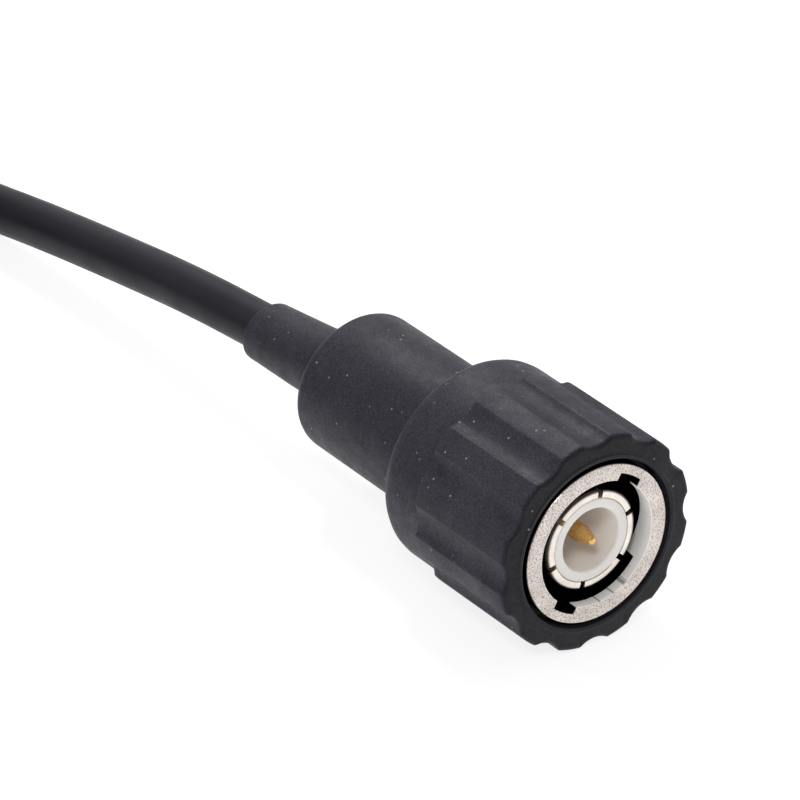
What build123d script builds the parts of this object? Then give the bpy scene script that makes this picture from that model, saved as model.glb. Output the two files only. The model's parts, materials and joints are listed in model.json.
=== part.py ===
# Oscilloscope probe: a shrouded BNC plug, 1.3 m of slim coaxial cable put away as a hank, and the probe head.
# Millimetres. +X points out of the plug's mating face, +Z is up, and the origin is the middle of that face.
# The plug lies on two ribs of its knob, and the cable, the hank and the probe head lie on the same surface.
import math
import os

from build123d import *

# --- plug: bayonet coupling -------------------------------------------------------------------------------
RING_R = 6.3
RING_LENGTH = 12.25
RING_BORE_R = 4.95
RING_CHAMBER_R = 5.55
RING_LIP = 0.85
RING_REAR_WALL = 1.9
NOTCH_R = 5.53
NOTCH_WIDTH = 2.1
NOTCH_ANGLE = 57.0
RAMP_RISE = 1.1
RAMP_SPAN = 78.0
RAMP_STEPS = 6

KNOB_R = 8.15
KNOB_LENGTH = 15.3
KNOB_REAR_ROUND = 1.4
KNOB_REAR_WALL = 1.6
KNOB_REAR_HOLE_R = 5.9
KNOB_MOUTH_R = 6.65
KNOB_MOUTH_DEPTH = 1.6
RIB_R = 8.57
RIB_LENGTH = 10.5
RIB_COUNT = 12
VALLEY_FLOOR_R = 8.1
VALLEY_ROUND = 2.3
VALLEY_ANGLE = -90.0

# --- plug: body and contacts ------------------------------------------------------------------------------
CONTACT_R = 4.0
CONTACT_WALL = 0.7
CONTACT_TIP_X = -0.66
CONTACT_CHAMFER = 0.3
CONTACT_SEAT_R = 3.8
SLOT_COUNT = 6
SLOT_WIDTH = 0.45
SLOT_REAR_X = -5.45
SLOT_ANGLE = 18.0
INSULATOR_BORE_R = 2.44
INSULATOR_REAR_X = -10.0
INSULATOR_FLOOR_X = -8.8
REAR_INSULATOR_X = -13.5
PIN_R = 0.675
PIN_SEAT_R = 0.9
PIN_TIP_R = 0.26
PIN_TIP_X = -0.45
PIN_CONE = 0.7
PIN_SHOULDER_R = 1.3
PIN_REAR_X = -14.5
PIN_CUP = 2.0
COLLAR_R = 5.2
COLLAR_FRONT_X = -6.4
COLLAR_REAR_X = -8.2
NECK_R = 4.15
NECK_REAR_X = -14.8
SPIGOT_R = 2.9
SPIGOT_REAR_X = -21.5
FERRULE_FRONT_X = -15.2
FERRULE_REAR_X = -26.0
FERRULE_WALL = 0.4
CABLE_START_X = -23.5
CLIP_FRONT_X = -12.45
CLIP_THICK = 0.5
CLIP_GROOVE_R = 3.75
WASHER_OUTER_R = 5.35
WASHER_FRONT_X = -9.9
WASHER_THICK = 0.4
SHAFT_GAP = 0.09
GASKET_R = 4.9
GASKET_FRONT_X = -5.4

# --- plug: moulded boot -----------------------------------------------------------------------------------
BOOT_FRONT_X = -13.9
BARREL_R = 5.68
BARREL_REAR_X = -29.3
BARREL_ROUND = 1.0
BOOT_NECK_R = 2.92
BOOT_NECK_END_R = 2.46
BOOT_NECK_LENGTH = 12.3
BOOT_NECK_BURIED = 1.5
BOOT_NECK_ROUND = 0.3
BOOT_DROOP = 4.8

# --- cable ------------------------------------------------------------------------------------------------
CABLE_D = 3.8
CABLE_R = CABLE_D / 2
BRAID_WALL = 0.3
DIELECTRIC_R = 1.15
CORE_R = 0.3
BEND_SHARE = 0.45

# The lowest edges of the two ribs that the plug lies on give the surface's height.
RIB_HALF_LAND = 7.0
FLOOR_Z = -RIB_R * math.sin(math.radians(90 - 180 / RIB_COUNT + RIB_HALF_LAND))
LYING_Z = FLOOR_Z + CABLE_R + 0.05

# --- hank of put-away cable -------------------------------------------------------------------------------
HANK_Y = -10.0
HANK_FRONT_X = -100.0
HANK_SPAN = 46.0
HANK_OUTER_R = 17.1
HANK_INNER_R = 9.5
HANK_WAIST = 15.6
HANK_WAIST_ROUND = 8.0
HANK_HEIGHT = 11.6
TIE_WIDTH = 7.0
TIE_THICK = 1.2
TIE_ROUND = 3.0

# --- probe head: x runs from its strain relief to its hook ------------------------------------------------
HEAD_R = 7.25
HEAD_Y = -35.2
HEAD_Z = FLOOR_Z + HEAD_R
HEAD_REAR_X = -150.0
HEAD = Pos(0, HEAD_Y, HEAD_Z)
RELIEF_R = 3.5
SHELL_X0 = HEAD_REAR_X + 18.0
SHELL_LENGTH = 56.0
SHELL_X1 = SHELL_X0 + SHELL_LENGTH
SHELL_WALL = 1.4
SHELL_END_WALL = 3.5
GRIP_R = 5.2
GUARD_LENGTH = 3.2
SEAM_GAP = 0.05
SLIDER_TRAVEL = 3.5
SLIDER_WIDTH = 3.4
SLIDER_LENGTH = 5.0
SLIDER_X = SHELL_X0 + 27.0
TRIMMER_X = SHELL_X0 + 12.0
TRIMMER_HOLE_R = 1.6
TRIMMER_SCREW_R = 1.42
BOARD_THICK = 1.0
BOARD_X0 = SHELL_X0 + 8.0
BOARD_X1 = SHELL_X0 + 34.0
NOSE_R = 2.9
NOSE_CORE_R = 2.3
BARREL_X1 = SHELL_X1 + 12.0
NOSE_X1 = SHELL_X1 + 22.0
TIP_R = 0.5
TIP_X0 = SHELL_X1 - 10.0
TIP_X1 = NOSE_X1 + 3.4
HOOK_TRAVEL = 6.0
CARRIER_X0 = SHELL_X1 + 7.5
CARRIER_X1 = SHELL_X1 + 28.0
CARRIER_R = 3.3
CARRIER_WALL = 1.5
SLEEVE_X0 = CARRIER_X0 + 2.8 + HOOK_TRAVEL + 0.5
SLEEVE_X1 = CARRIER_X1 + 11.5
SLEEVE_R = 4.3
SLEEVE_NOSE_R = 2.2
SLEEVE_MOUTH_R = 0.75
SLEEVE_BORE_R = 3.38
FLANGE_R = 6.0
SPRING_X1 = SLEEVE_X1 - 2.0
SPRING_R = 1.25
SPRING_WIRE_R = 0.25
SPRING_TURNS = 6
HOOK_X1 = SLEEVE_X1 + 4.5
HOOK_WIRE_R = 0.35
HOOK_DROP = 1.9
HOOK_GAP = 0.3

# Where the cable's middle runs, out of the plug and down to the surface, then into the front of the hank.
RUN_TO_HANK = [
    (CABLE_START_X, 0, 0),
    (-30, 0, 0),
    (-41, 0, -1.08),
    (-50, -0.05, -1.96),
    (-60, -0.25, -3.43),
    (-70, -0.85, -4.72),
    (-79, -2.0, -5.8),
    (-86.5, -0.3, LYING_Z),
    (-92.8, 2.8, LYING_Z),
    (-99, 4.9, LYING_Z),
]
# Out of the far end of the hank, round behind it and up into the probe head's strain relief.
RUN_TO_HEAD = [
    (-148, 5.5, LYING_Z + 3.8),
    (-158.6, 6.0, LYING_Z + 3.2),
    (-168.2, 0.7, LYING_Z + 1.8),
    (-173.8, -8.9, LYING_Z + 0.6),
    (-173.8, -20.1, LYING_Z + 0.6),
    (-168.2, -29.7, LYING_Z + 2.8),
    (-158.6, HEAD_Y, HEAD_Z),
    (-148, HEAD_Y, HEAD_Z),
]


def turned(*outline):
    """A solid turned about the X axis from (x, radius) points."""
    return revolve(make_face(Plane.XZ * Polyline(*outline, close=True)), Axis.X, 360)


def rod(x0, x1, radius):
    """A round bar along X from x0 to x1."""
    return Plane((min(x0, x1), 0, 0), z_dir=(1, 0, 0)) * extrude(Circle(radius), abs(x1 - x0))


def tube(x0, x1, outer, inner):
    return rod(x0, x1, outer) - rod(x0, x1, inner)


def brick(x0, x1, y0, y1, z0, z1):
    middle = Pos((x0 + x1) / 2, (y0 + y1) / 2, (z0 + z1) / 2)
    return middle * Box(x1 - x0, y1 - y0, z1 - z0)


def around(angle, shape):
    """The shape turned about the X axis by an angle measured from +Y towards +Z."""
    return Rot(angle, 0, 0) * shape


def corner_radii(points):
    """The radius of the arc at each corner: as large as the two runs beside it allow."""
    radii = []
    for before, at, after in zip(points, points[1:], points[2:]):
        turn = math.radians((Vector(*at) - Vector(*before)).get_angle(Vector(*after) - Vector(*at)))
        shorter = min((Vector(*at) - Vector(*before)).length, (Vector(*after) - Vector(*at)).length)
        radii.append(BEND_SHARE * shorter / math.tan(turn / 2))
    return radii


def bent_bar(points, radius, radii):
    """A round bar along straight runs joined by tangent arcs."""
    path = FilletPolyline(*points, radius=radii)
    end = Plane(origin=path @ 0, z_dir=path % 0)
    return sweep(end * Circle(radius), path=path), path


# --- the plug's parts -------------------------------------------------------------------------------------
def bayonet_ring():
    wall_x = -RING_LENGTH + RING_REAR_WALL
    ring = turned(
        (0, RING_BORE_R),
        (0, RING_R),
        (-RING_LENGTH, RING_R),
        (-RING_LENGTH, NECK_R + SHAFT_GAP),
        (wall_x, NECK_R + SHAFT_GAP),
        (wall_x, RING_CHAMBER_R),
        (-RING_LIP, RING_CHAMBER_R),
        (-RING_LIP, RING_BORE_R),
    )
    # Each cam rises behind the lip, in small treads, from the entry notch towards its locked end.
    tread_angle = RAMP_SPAN / RAMP_STEPS
    for side in (0, 180):
        for step in range(RAMP_STEPS):
            depth = RING_LIP + RAMP_RISE * (step + 1) / RAMP_STEPS
            first = NOTCH_ANGLE + side - 14 - step * tread_angle
            sector = revolve(
                make_face(
                    Plane.XZ
                    * Polyline(
                        (-RING_LIP, RING_BORE_R),
                        (-RING_LIP, RING_CHAMBER_R),
                        (-depth, RING_CHAMBER_R),
                        (-depth, RING_BORE_R),
                        close=True,
                    )
                ),
                Axis.X,
                tread_angle,
            )
            # The outline starts on +Z, which is 90 degrees from +Y.
            ring += around(first - 90 - tread_angle, sector)
    for side in (0, 180):
        notch = brick(-RING_LIP - RAMP_RISE - 0.4, 1, 0, NOTCH_R, -NOTCH_WIDTH / 2, NOTCH_WIDTH / 2)
        ring -= around(NOTCH_ANGLE + side, notch)
    return ring


def coupling_sleeve():
    drum = turned((0, 0), (0, KNOB_R), (-KNOB_LENGTH, KNOB_R), (-KNOB_LENGTH, 0))
    rear_edge = drum.edges().filter_by(GeomType.CIRCLE).sort_by(Axis.X)[0]
    drum = fillet(rear_edge, KNOB_REAR_ROUND)
    section = Circle(RIB_R)
    for rib in range(RIB_COUNT):
        angle = math.radians(VALLEY_ANGLE + rib * 360 / RIB_COUNT)
        reach = VALLEY_FLOOR_R + VALLEY_ROUND
        section -= Pos(reach * math.cos(angle), reach * math.sin(angle)) * Circle(VALLEY_ROUND)
    ribs = Plane((-RIB_LENGTH, 0, 0), x_dir=(0, 1, 0), z_dir=(1, 0, 0)) * extrude(section, RIB_LENGTH)
    knob = drum + ribs
    knob -= rod(-KNOB_LENGTH - 1, 1, KNOB_REAR_HOLE_R)
    knob -= rod(-KNOB_LENGTH + KNOB_REAR_WALL, 1, RING_R)
    knob -= rod(-KNOB_MOUTH_DEPTH, 1, KNOB_MOUTH_R)
    return knob


def outer_contact():
    inner = CONTACT_R - CONTACT_WALL
    barrel = turned(
        (CONTACT_TIP_X, inner),
        (CONTACT_TIP_X, CONTACT_R - CONTACT_CHAMFER),
        (CONTACT_TIP_X - CONTACT_CHAMFER, CONTACT_R),
        (GASKET_FRONT_X, CONTACT_R),
        (GASKET_FRONT_X, CONTACT_SEAT_R),
        (COLLAR_REAR_X, CONTACT_SEAT_R),
        (COLLAR_REAR_X, inner),
    )
    for slot in range(SLOT_COUNT):
        cut = brick(SLOT_REAR_X, 1, 0, CONTACT_R + 1, -SLOT_WIDTH / 2, SLOT_WIDTH / 2)
        barrel -= around(SLOT_ANGLE + slot * 360 / SLOT_COUNT, cut)
    return barrel


def front_insulator():
    outer = CONTACT_R - CONTACT_WALL
    return turned(
        (CONTACT_TIP_X, INSULATOR_BORE_R + 0.2),
        (CONTACT_TIP_X, outer),
        (INSULATOR_REAR_X, outer),
        (INSULATOR_REAR_X, PIN_SEAT_R),
        (INSULATOR_FLOOR_X, PIN_SEAT_R),
        (INSULATOR_FLOOR_X, INSULATOR_BORE_R),
        (CONTACT_TIP_X - 0.5, INSULATOR_BORE_R),
    )


def centre_pin():
    return turned(
        (PIN_TIP_X, 0),
        (PIN_TIP_X, PIN_TIP_R / 2),
        (PIN_TIP_X - PIN_TIP_R / 2, PIN_TIP_R),
        (PIN_TIP_X - PIN_CONE, PIN_R),
        (INSULATOR_FLOOR_X, PIN_R),
        (INSULATOR_FLOOR_X, PIN_SEAT_R),
        (INSULATOR_REAR_X, PIN_SEAT_R),
        (INSULATOR_REAR_X, PIN_SHOULDER_R),
        (INSULATOR_REAR_X - 2, PIN_SHOULDER_R),
        (INSULATOR_REAR_X - 2, PIN_SEAT_R),
        (PIN_REAR_X, PIN_SEAT_R),
        (PIN_REAR_X, CORE_R),
        (PIN_REAR_X + PIN_CUP, CORE_R),
        (PIN_REAR_X + PIN_CUP, 0),
    )


def rear_insulator():
    return turned(
        (INSULATOR_REAR_X, PIN_SHOULDER_R),
        (INSULATOR_REAR_X, CONTACT_R - CONTACT_WALL),
        (REAR_INSULATOR_X, CONTACT_R - CONTACT_WALL),
        (REAR_INSULATOR_X, PIN_SEAT_R),
        (INSULATOR_REAR_X - 2, PIN_SEAT_R),
        (INSULATOR_REAR_X - 2, PIN_SHOULDER_R),
    )


def plug_body():
    clip_rear_x = CLIP_FRONT_X - CLIP_THICK
    inner = CONTACT_R - CONTACT_WALL
    return turned(
        (COLLAR_FRONT_X, CONTACT_SEAT_R),
        (COLLAR_FRONT_X, COLLAR_R),
        (COLLAR_REAR_X, COLLAR_R),
        (COLLAR_REAR_X, NECK_R),
        (CLIP_FRONT_X, NECK_R),
        (CLIP_FRONT_X, CLIP_GROOVE_R),
        (clip_rear_x, CLIP_GROOVE_R),
        (clip_rear_x, NECK_R),
        (NECK_REAR_X, NECK_R),
        (NECK_REAR_X, SPIGOT_R),
        (SPIGOT_REAR_X, SPIGOT_R),
        (SPIGOT_REAR_X, DIELECTRIC_R),
        (REAR_INSULATOR_X, DIELECTRIC_R),
        (REAR_INSULATOR_X, inner),
        (COLLAR_REAR_X, inner),
        (COLLAR_REAR_X, CONTACT_SEAT_R),
    )


def spring_washer():
    small = NECK_R + SHAFT_GAP
    return turned(
        (COLLAR_REAR_X, WASHER_OUTER_R - 0.35),
        (COLLAR_REAR_X, WASHER_OUTER_R - 0.1),
        (WASHER_FRONT_X, small + 0.3),
        (WASHER_FRONT_X, small + 0.02),
    )


def retaining_ring():
    clip = tube(CLIP_FRONT_X, CLIP_FRONT_X - CLIP_THICK, 5.0, CLIP_GROOVE_R)
    return clip - brick(CLIP_FRONT_X - 1, CLIP_FRONT_X + 1, -2, 2, 0, 6)


def crimp_ferrule():
    bore = SPIGOT_R + BRAID_WALL
    return turned(
        (FERRULE_FRONT_X, bore),
        (FERRULE_FRONT_X, bore + FERRULE_WALL),
        (SPIGOT_REAR_X - 0.6, bore + FERRULE_WALL),
        (CABLE_START_X, CABLE_R + FERRULE_WALL),
        (FERRULE_REAR_X, CABLE_R + FERRULE_WALL),
        (FERRULE_REAR_X, CABLE_R),
        (CABLE_START_X, CABLE_R),
        (SPIGOT_REAR_X - 0.6, bore),
    )


def cable_braid():
    """The cable's screen, flared over the spigot and held there by the ferrule."""
    outer = SPIGOT_R + BRAID_WALL
    return turned(
        (FERRULE_FRONT_X, SPIGOT_R),
        (FERRULE_FRONT_X, outer),
        (SPIGOT_REAR_X - 0.6, outer),
        (CABLE_START_X, CABLE_R),
        (CABLE_START_X, CABLE_R - BRAID_WALL),
        (SPIGOT_REAR_X, SPIGOT_R),
    )


def plug_boot(cable):
    """The moulded barrel and its flexible neck, which droops a little with the cable."""
    barrel = rod(BARREL_REAR_X, BOOT_FRONT_X, BARREL_R)
    barrel = fillet(barrel.edges().filter_by(GeomType.CIRCLE).sort_by(Axis.X)[0], BARREL_ROUND)
    root_x = BARREL_REAR_X + BOOT_NECK_BURIED
    neck_end_x = root_x - BOOT_NECK_LENGTH
    neck = turned((root_x, 0), (root_x, BOOT_NECK_R), (neck_end_x, BOOT_NECK_END_R), (neck_end_x, 0))
    neck = fillet(neck.edges().filter_by(GeomType.CIRCLE).sort_by(Axis.X)[0], BOOT_NECK_ROUND)
    neck = Pos(root_x, 0, 0) * Rot(0, -BOOT_DROOP, 0) * Pos(-root_x, 0, 0) * neck
    filled = SPIGOT_R + BRAID_WALL + FERRULE_WALL
    metalwork = turned(
        (-13, 0),
        (-13, NECK_R),
        (NECK_REAR_X, NECK_R),
        (NECK_REAR_X, SPIGOT_R),
        (FERRULE_FRONT_X, SPIGOT_R),
        (FERRULE_FRONT_X, filled),
        (SPIGOT_REAR_X - 0.6, filled),
        (CABLE_START_X, CABLE_R + FERRULE_WALL),
        (FERRULE_REAR_X, CABLE_R + FERRULE_WALL),
        (FERRULE_REAR_X, 0),
    )
    return barrel + neck - metalwork - cable


# --- the hank ---------------------------------------------------------------------------------------------
def hank(tie):
    middle_x = HANK_FRONT_X - HANK_SPAN / 2
    half = HANK_SPAN / 2
    outline = (
        Rectangle(HANK_SPAN, HANK_WAIST)
        + Pos(half, 0) * Circle(HANK_OUTER_R)
        + Pos(-half, 0) * Circle(HANK_OUTER_R)
    )
    waist = outline.vertices().filter_by(lambda v: abs(v.X) < half)
    outline = fillet(waist, HANK_WAIST_ROUND)
    for side in (-half, half):
        outline -= Pos(side, 0) * Circle(HANK_INNER_R)
    coil = Pos(middle_x, HANK_Y, FLOOR_Z + 0.01) * extrude(outline, HANK_HEIGHT)
    return coil - tie


def cable_tie():
    """A strap round the hank's waist."""
    middle_x = HANK_FRONT_X - HANK_SPAN / 2
    wide = HANK_WAIST + 2 * TIE_THICK
    high = HANK_HEIGHT + TIE_THICK + 0.01
    band = RectangleRounded(wide, high, TIE_ROUND)
    band -= RectangleRounded(HANK_WAIST, high - 2 * TIE_THICK, TIE_ROUND - TIE_THICK)
    strap = Plane(
        (middle_x - TIE_WIDTH / 2, HANK_Y, FLOOR_Z + high / 2), x_dir=(0, 1, 0), z_dir=(1, 0, 0)
    ) * extrude(band, TIE_WIDTH)
    return strap


# --- the probe head ---------------------------------------------------------------------------------------
def handle_shells():
    """The two halves of the handle: a round rear housing that narrows to a ribbed grip."""
    rear = SHELL_X0
    housing = rear + 32
    whole = turned(
        (rear, 0),
        (rear, 5.0),
        (rear + 1.2, 6.6),
        (rear + 3.5, HEAD_R),
        (housing, HEAD_R),
        (housing + 4, GRIP_R + 0.3),
        (housing + 12, GRIP_R),
        (SHELL_X1, GRIP_R + 0.2),
        (SHELL_X1, 0),
    )
    grip_bore = GRIP_R - SHELL_WALL
    whole -= turned(
        (rear + SHELL_END_WALL, 0),
        (rear + SHELL_END_WALL, HEAD_R - SHELL_WALL - 0.4),
        (housing - 1, HEAD_R - SHELL_WALL),
        (housing + 3.5, grip_bore),
        (SHELL_X1 - 4, grip_bore),
        (SHELL_X1 - 4, 0),
    )
    whole -= rod(rear - 1, rear + SHELL_END_WALL + 1, RELIEF_R)
    whole -= rod(SHELL_X1 - 5, SHELL_X1 + 1, NOSE_R)
    for rib in range(5):
        x = housing + 7.5 + rib * 3.2
        whole -= tube(x, x + 1.0, GRIP_R + 2, GRIP_R - 0.35)
    window_x = SLIDER_X - SLIDER_LENGTH / 2 + 0.6
    window_length = SLIDER_LENGTH - 1.2 + SLIDER_TRAVEL
    window_half = SLIDER_WIDTH / 2 - 0.4
    whole -= brick(window_x, window_x + window_length, -window_half, window_half, 0, HEAD_R + 1)
    whole -= Pos(TRIMMER_X, 0, HEAD_R) * Cylinder(TRIMMER_HOLE_R, HEAD_R)
    span = (rear - 5, SHELL_X1 + 5, -HEAD_R - 2, HEAD_R + 2)
    upper = whole & brick(*span, SEAM_GAP / 2, HEAD_R + 2)
    lower = whole & brick(*span, -HEAD_R - 2, -SEAM_GAP / 2)
    return upper, lower


def switch_slider():
    """The thumb button: a stem through the shell's window, under a wider ribbed cap that stands above it."""
    x0 = SLIDER_X - SLIDER_LENGTH / 2
    stem = brick(x0 + 0.9, x0 + SLIDER_LENGTH - 0.9, -1.1, 1.1, 3.0, HEAD_R + 0.6)
    cap = brick(x0, x0 + SLIDER_LENGTH, -SLIDER_WIDTH / 2, SLIDER_WIDTH / 2, HEAD_R + 0.15, HEAD_R + 1.5)
    for groove in range(3):
        x = x0 + 1.1 + groove * 1.2
        cap -= brick(x, x + 0.4, -3, 3, HEAD_R + 1.2, HEAD_R + 2)
    foot = brick(x0 + 0.5, x0 + SLIDER_LENGTH - 0.5, -1.6, 1.6, 2.4, 3.2)
    return stem + cap + foot


def hook_wire():
    """A bar out through the sleeve's mouth, bent down and back until its end meets the sleeve."""
    end_x = HOOK_X1 - HOOK_WIRE_R
    points = [
        (CARRIER_X1 - CARRIER_WALL, 0, 0),
        (end_x, 0, 0),
        (end_x, 0, -HOOK_DROP),
        (SLEEVE_X1 + HOOK_GAP, 0, -HOOK_DROP),
    ]
    wire, _ = bent_bar(points, HOOK_WIRE_R, [0.8, 0.8])
    return wire


def hook_spring():
    long = SPRING_X1 - CARRIER_X1 - 2 * SPRING_WIRE_R
    coil = Helix(pitch=long / SPRING_TURNS, height=long, radius=SPRING_R)
    section = Plane(origin=coil @ 0, z_dir=coil % 0) * Circle(SPRING_WIRE_R)
    spring = sweep(section, path=coil, is_frenet=True)
    return Plane((CARRIER_X1 + SPRING_WIRE_R, 0, 0), z_dir=(1, 0, 0)) * spring


def hook_carrier():
    """The fixed inner tube of the hook adapter, pushed over the ground barrel and the nose."""
    grip = NOSE_R + 0.06
    return turned(
        (CARRIER_X0, grip),
        (CARRIER_X0, 3.9),
        (CARRIER_X0 + 2.8, 3.9),
        (CARRIER_X0 + 2.8, CARRIER_R),
        (CARRIER_X1, CARRIER_R),
        (CARRIER_X1, HOOK_WIRE_R),
        (CARRIER_X1 - CARRIER_WALL, HOOK_WIRE_R),
        (CARRIER_X1 - CARRIER_WALL, 1.9),
        (BARREL_X1 + 0.1, 2.4),
        (BARREL_X1 + 0.1, grip),
    )


def hook_sleeve():
    """The sprung outer tube, with a finger flange at its rear and a small mouth for the hook."""
    deep_x = CARRIER_X1 + HOOK_TRAVEL + 0.2
    return turned(
        (SLEEVE_X0, SLEEVE_BORE_R),
        (SLEEVE_X0, FLANGE_R - 0.4),
        (SLEEVE_X0 + 0.4, FLANGE_R),
        (SLEEVE_X0 + 1.4, FLANGE_R),
        (SLEEVE_X0 + 2.6, SLEEVE_R),
        (deep_x + 0.3, SLEEVE_R),
        (SLEEVE_X1 - 0.6, SLEEVE_NOSE_R + 0.3),
        (SLEEVE_X1, SLEEVE_NOSE_R),
        (SLEEVE_X1, SLEEVE_MOUTH_R),
        (SPRING_X1, SLEEVE_MOUTH_R),
        (SPRING_X1, SPRING_R + 0.45),
        (deep_x, SPRING_R + 0.45),
        (deep_x, SLEEVE_BORE_R),
    )


def strain_relief():
    relief = turned(
        (HEAD_REAR_X, CABLE_R),
        (HEAD_REAR_X, 2.7),
        (HEAD_REAR_X + 14, RELIEF_R),
        (SHELL_X0 + SHELL_END_WALL, RELIEF_R),
        (SHELL_X0 + SHELL_END_WALL, 4.8),
        (SHELL_X0 + SHELL_END_WALL + 2, 4.8),
        (SHELL_X0 + SHELL_END_WALL + 2, CABLE_R),
    )
    for rib in range(4):
        x = HEAD_REAR_X + 3 + rib * 3
        relief -= tube(x, x + 1.2, 5, 2.6)
    return relief


def finger_guard():
    x = SHELL_X1
    return turned(
        (x, NOSE_R),
        (x, GRIP_R + 0.2),
        (x + 0.8, HEAD_R - 0.4),
        (x + 1.2, HEAD_R),
        (x + 2.0, HEAD_R),
        (x + GUARD_LENGTH, 4.2),
        (x + GUARD_LENGTH, NOSE_R),
    )


def cable_end():
    """The end of the cable inside the head: jacket, dielectric and conductor."""
    jacket_x = SHELL_X0 + SHELL_END_WALL + 2
    return turned(
        (RUN_TO_HEAD[-1][0], 0),
        (RUN_TO_HEAD[-1][0], CABLE_R),
        (jacket_x, CABLE_R),
        (jacket_x, DIELECTRIC_R),
        (BOARD_X0 - 1, DIELECTRIC_R),
        (BOARD_X0 - 1, CORE_R),
        (BOARD_X0, CORE_R),
        (BOARD_X0, 0),
    )


def divider_resistor():
    body_x = BOARD_X1 + 2.5
    return turned(
        (BOARD_X1, 0),
        (BOARD_X1, CORE_R),
        (body_x, CORE_R),
        (body_x, 0.9),
        (body_x + 6, 0.9),
        (body_x + 6, CORE_R),
        (TIP_X0, CORE_R),
        (TIP_X0, 0),
    )


def trimmer():
    """The trimmer's square body with a round well, and its screw, which a blade turns through the shell."""
    top = BOARD_THICK / 2
    body = brick(TRIMMER_X - 2.3, TRIMMER_X + 2.3, -2.3, 2.3, top, top + 2.4)
    body -= Pos(TRIMMER_X, 0, top + 1.9) * Cylinder(TRIMMER_SCREW_R + 0.08, 2.4)
    screw = Pos(TRIMMER_X, 0, top + 1.85) * Cylinder(TRIMMER_SCREW_R, 2.2)
    screw -= Pos(TRIMMER_X, 0, top + 2.95) * Box(2.2, 0.5, 0.8)
    return body, screw


def switch_contacts():
    """Three flat pads on the board, under the slider's wiper."""
    top = BOARD_THICK / 2
    first_x = SLIDER_X - SLIDER_TRAVEL / 2 - 0.65
    pads = [
        brick(first_x + pad * 2.5, first_x + pad * 2.5 + 1.8, -1.3, 1.3, top, top + 0.2)
        for pad in range(3)
    ]
    return pads[0] + pads[1] + pads[2]


def switch_wiper():
    """A bridge under the slider's foot, with a leg down to a pad at each end."""
    bridge = brick(SLIDER_X - 1.6, SLIDER_X + 1.6, -0.8, 0.8, 2.1, 2.4)
    for side in (-1.6, 1.3):
        bridge += brick(SLIDER_X + side, SLIDER_X + side + 0.3, -0.8, 0.8, 0.75, 2.4)
    return bridge


def board_parts():
    """Two small surface-mounted parts."""
    top = BOARD_THICK / 2
    x = SHELL_X0 + 20
    return brick(x - 1, x + 1, -3.2, -2, top, top + 1.2) + brick(x - 1, x + 1, 2, 3.2, top, top + 1)


def head_parts():
    """Every piece of the probe head, with its axis on X."""
    upper, lower = handle_shells()
    trimmer_body, trimmer_screw = trimmer()
    nose = turned(
        (SHELL_X1 - 8, TIP_R),
        (SHELL_X1 - 8, NOSE_CORE_R),
        (BARREL_X1, NOSE_CORE_R),
        (NOSE_X1, 1.6),
        (NOSE_X1, TIP_R),
    )
    tip = turned((TIP_X0, 0), (TIP_X0, TIP_R), (TIP_X1 - 0.8, TIP_R), (TIP_X1, 0.1), (TIP_X1, 0))
    return {
        "strain_relief": strain_relief(),
        "cable_end": cable_end(),
        "handle_shell_upper": upper,
        "handle_shell_lower": lower,
        "marker_ring": tube(SHELL_X0 - 3.4, SHELL_X0 - 0.2, 4.3, RELIEF_R),
        "circuit_board": brick(BOARD_X0, BOARD_X1, -4.4, 4.4, -BOARD_THICK / 2, BOARD_THICK / 2),
        "board_parts": board_parts(),
        "trimmer_body": trimmer_body,
        "trimmer_screw": trimmer_screw,
        "switch_contacts": switch_contacts(),
        "switch_slider": switch_slider(),
        "switch_wiper": switch_wiper(),
        "divider_resistor": divider_resistor(),
        "finger_guard": finger_guard(),
        "ground_barrel": tube(SHELL_X1 - 4, BARREL_X1, NOSE_R, NOSE_CORE_R),
        "nose_insulator": nose,
        "probe_tip": tip,
        "tip_socket": tube(CARRIER_X1 - CARRIER_WALL - 4, CARRIER_X1 - CARRIER_WALL, 1.0, TIP_R + 0.04),
        "hook_carrier": hook_carrier(),
        "hook_sleeve": hook_sleeve(),
        "hook_spring": hook_spring(),
        "hook_wire": hook_wire(),
    }


def cable_parts():
    """The two lying stretches of cable, each cut where it meets the hank, the hank and its tie."""
    tie = cable_tie()
    coil = hank(tie)
    parts = {"cable_hank": coil, "hank_tie": tie}
    for name, route in (("cable_to_hank", RUN_TO_HANK), ("cable_to_head", RUN_TO_HEAD)):
        radii = corner_radii(route)
        bar, path = bent_bar(route, CABLE_R, radii)
        print(name, "radii", [round(r, 1) for r in radii], "length", round(path.length, 1))
        parts[name] = bar - coil
    return parts


def plug_parts(cable):
    return {
        "plug_body": plug_body(),
        "outer_contact": outer_contact(),
        "front_insulator": front_insulator(),
        "rear_insulator": rear_insulator(),
        "centre_pin": centre_pin(),
        "contact_gasket": tube(COLLAR_FRONT_X, GASKET_FRONT_X, GASKET_R, CONTACT_SEAT_R),
        "spring_washer": spring_washer(),
        "thrust_washer": tube(
            WASHER_FRONT_X, WASHER_FRONT_X - WASHER_THICK, WASHER_OUTER_R, NECK_R + SHAFT_GAP
        ),
        "retaining_ring": retaining_ring(),
        "bayonet_ring": bayonet_ring(),
        "coupling_sleeve": coupling_sleeve(),
        "crimp_ferrule": crimp_ferrule(),
        "cable_braid": cable_braid(),
        "cable_dielectric": tube(CABLE_START_X, PIN_REAR_X, DIELECTRIC_R, CORE_R),
        "cable_core": rod(CABLE_START_X, PIN_REAR_X + PIN_CUP, CORE_R),
        "plug_boot": plug_boot(cable),
    }


os.makedirs("parts", exist_ok=True)
nodes = cable_parts()
nodes.update(plug_parts(nodes["cable_to_hank"]))
nodes.update({name: HEAD * shape for name, shape in head_parts().items()})
for name, shape in nodes.items():
    export_step(shape, f"parts/{name}.step")
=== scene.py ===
import json
import math
import random

import bmesh
import bpy
from mathutils import Matrix, Vector


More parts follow.
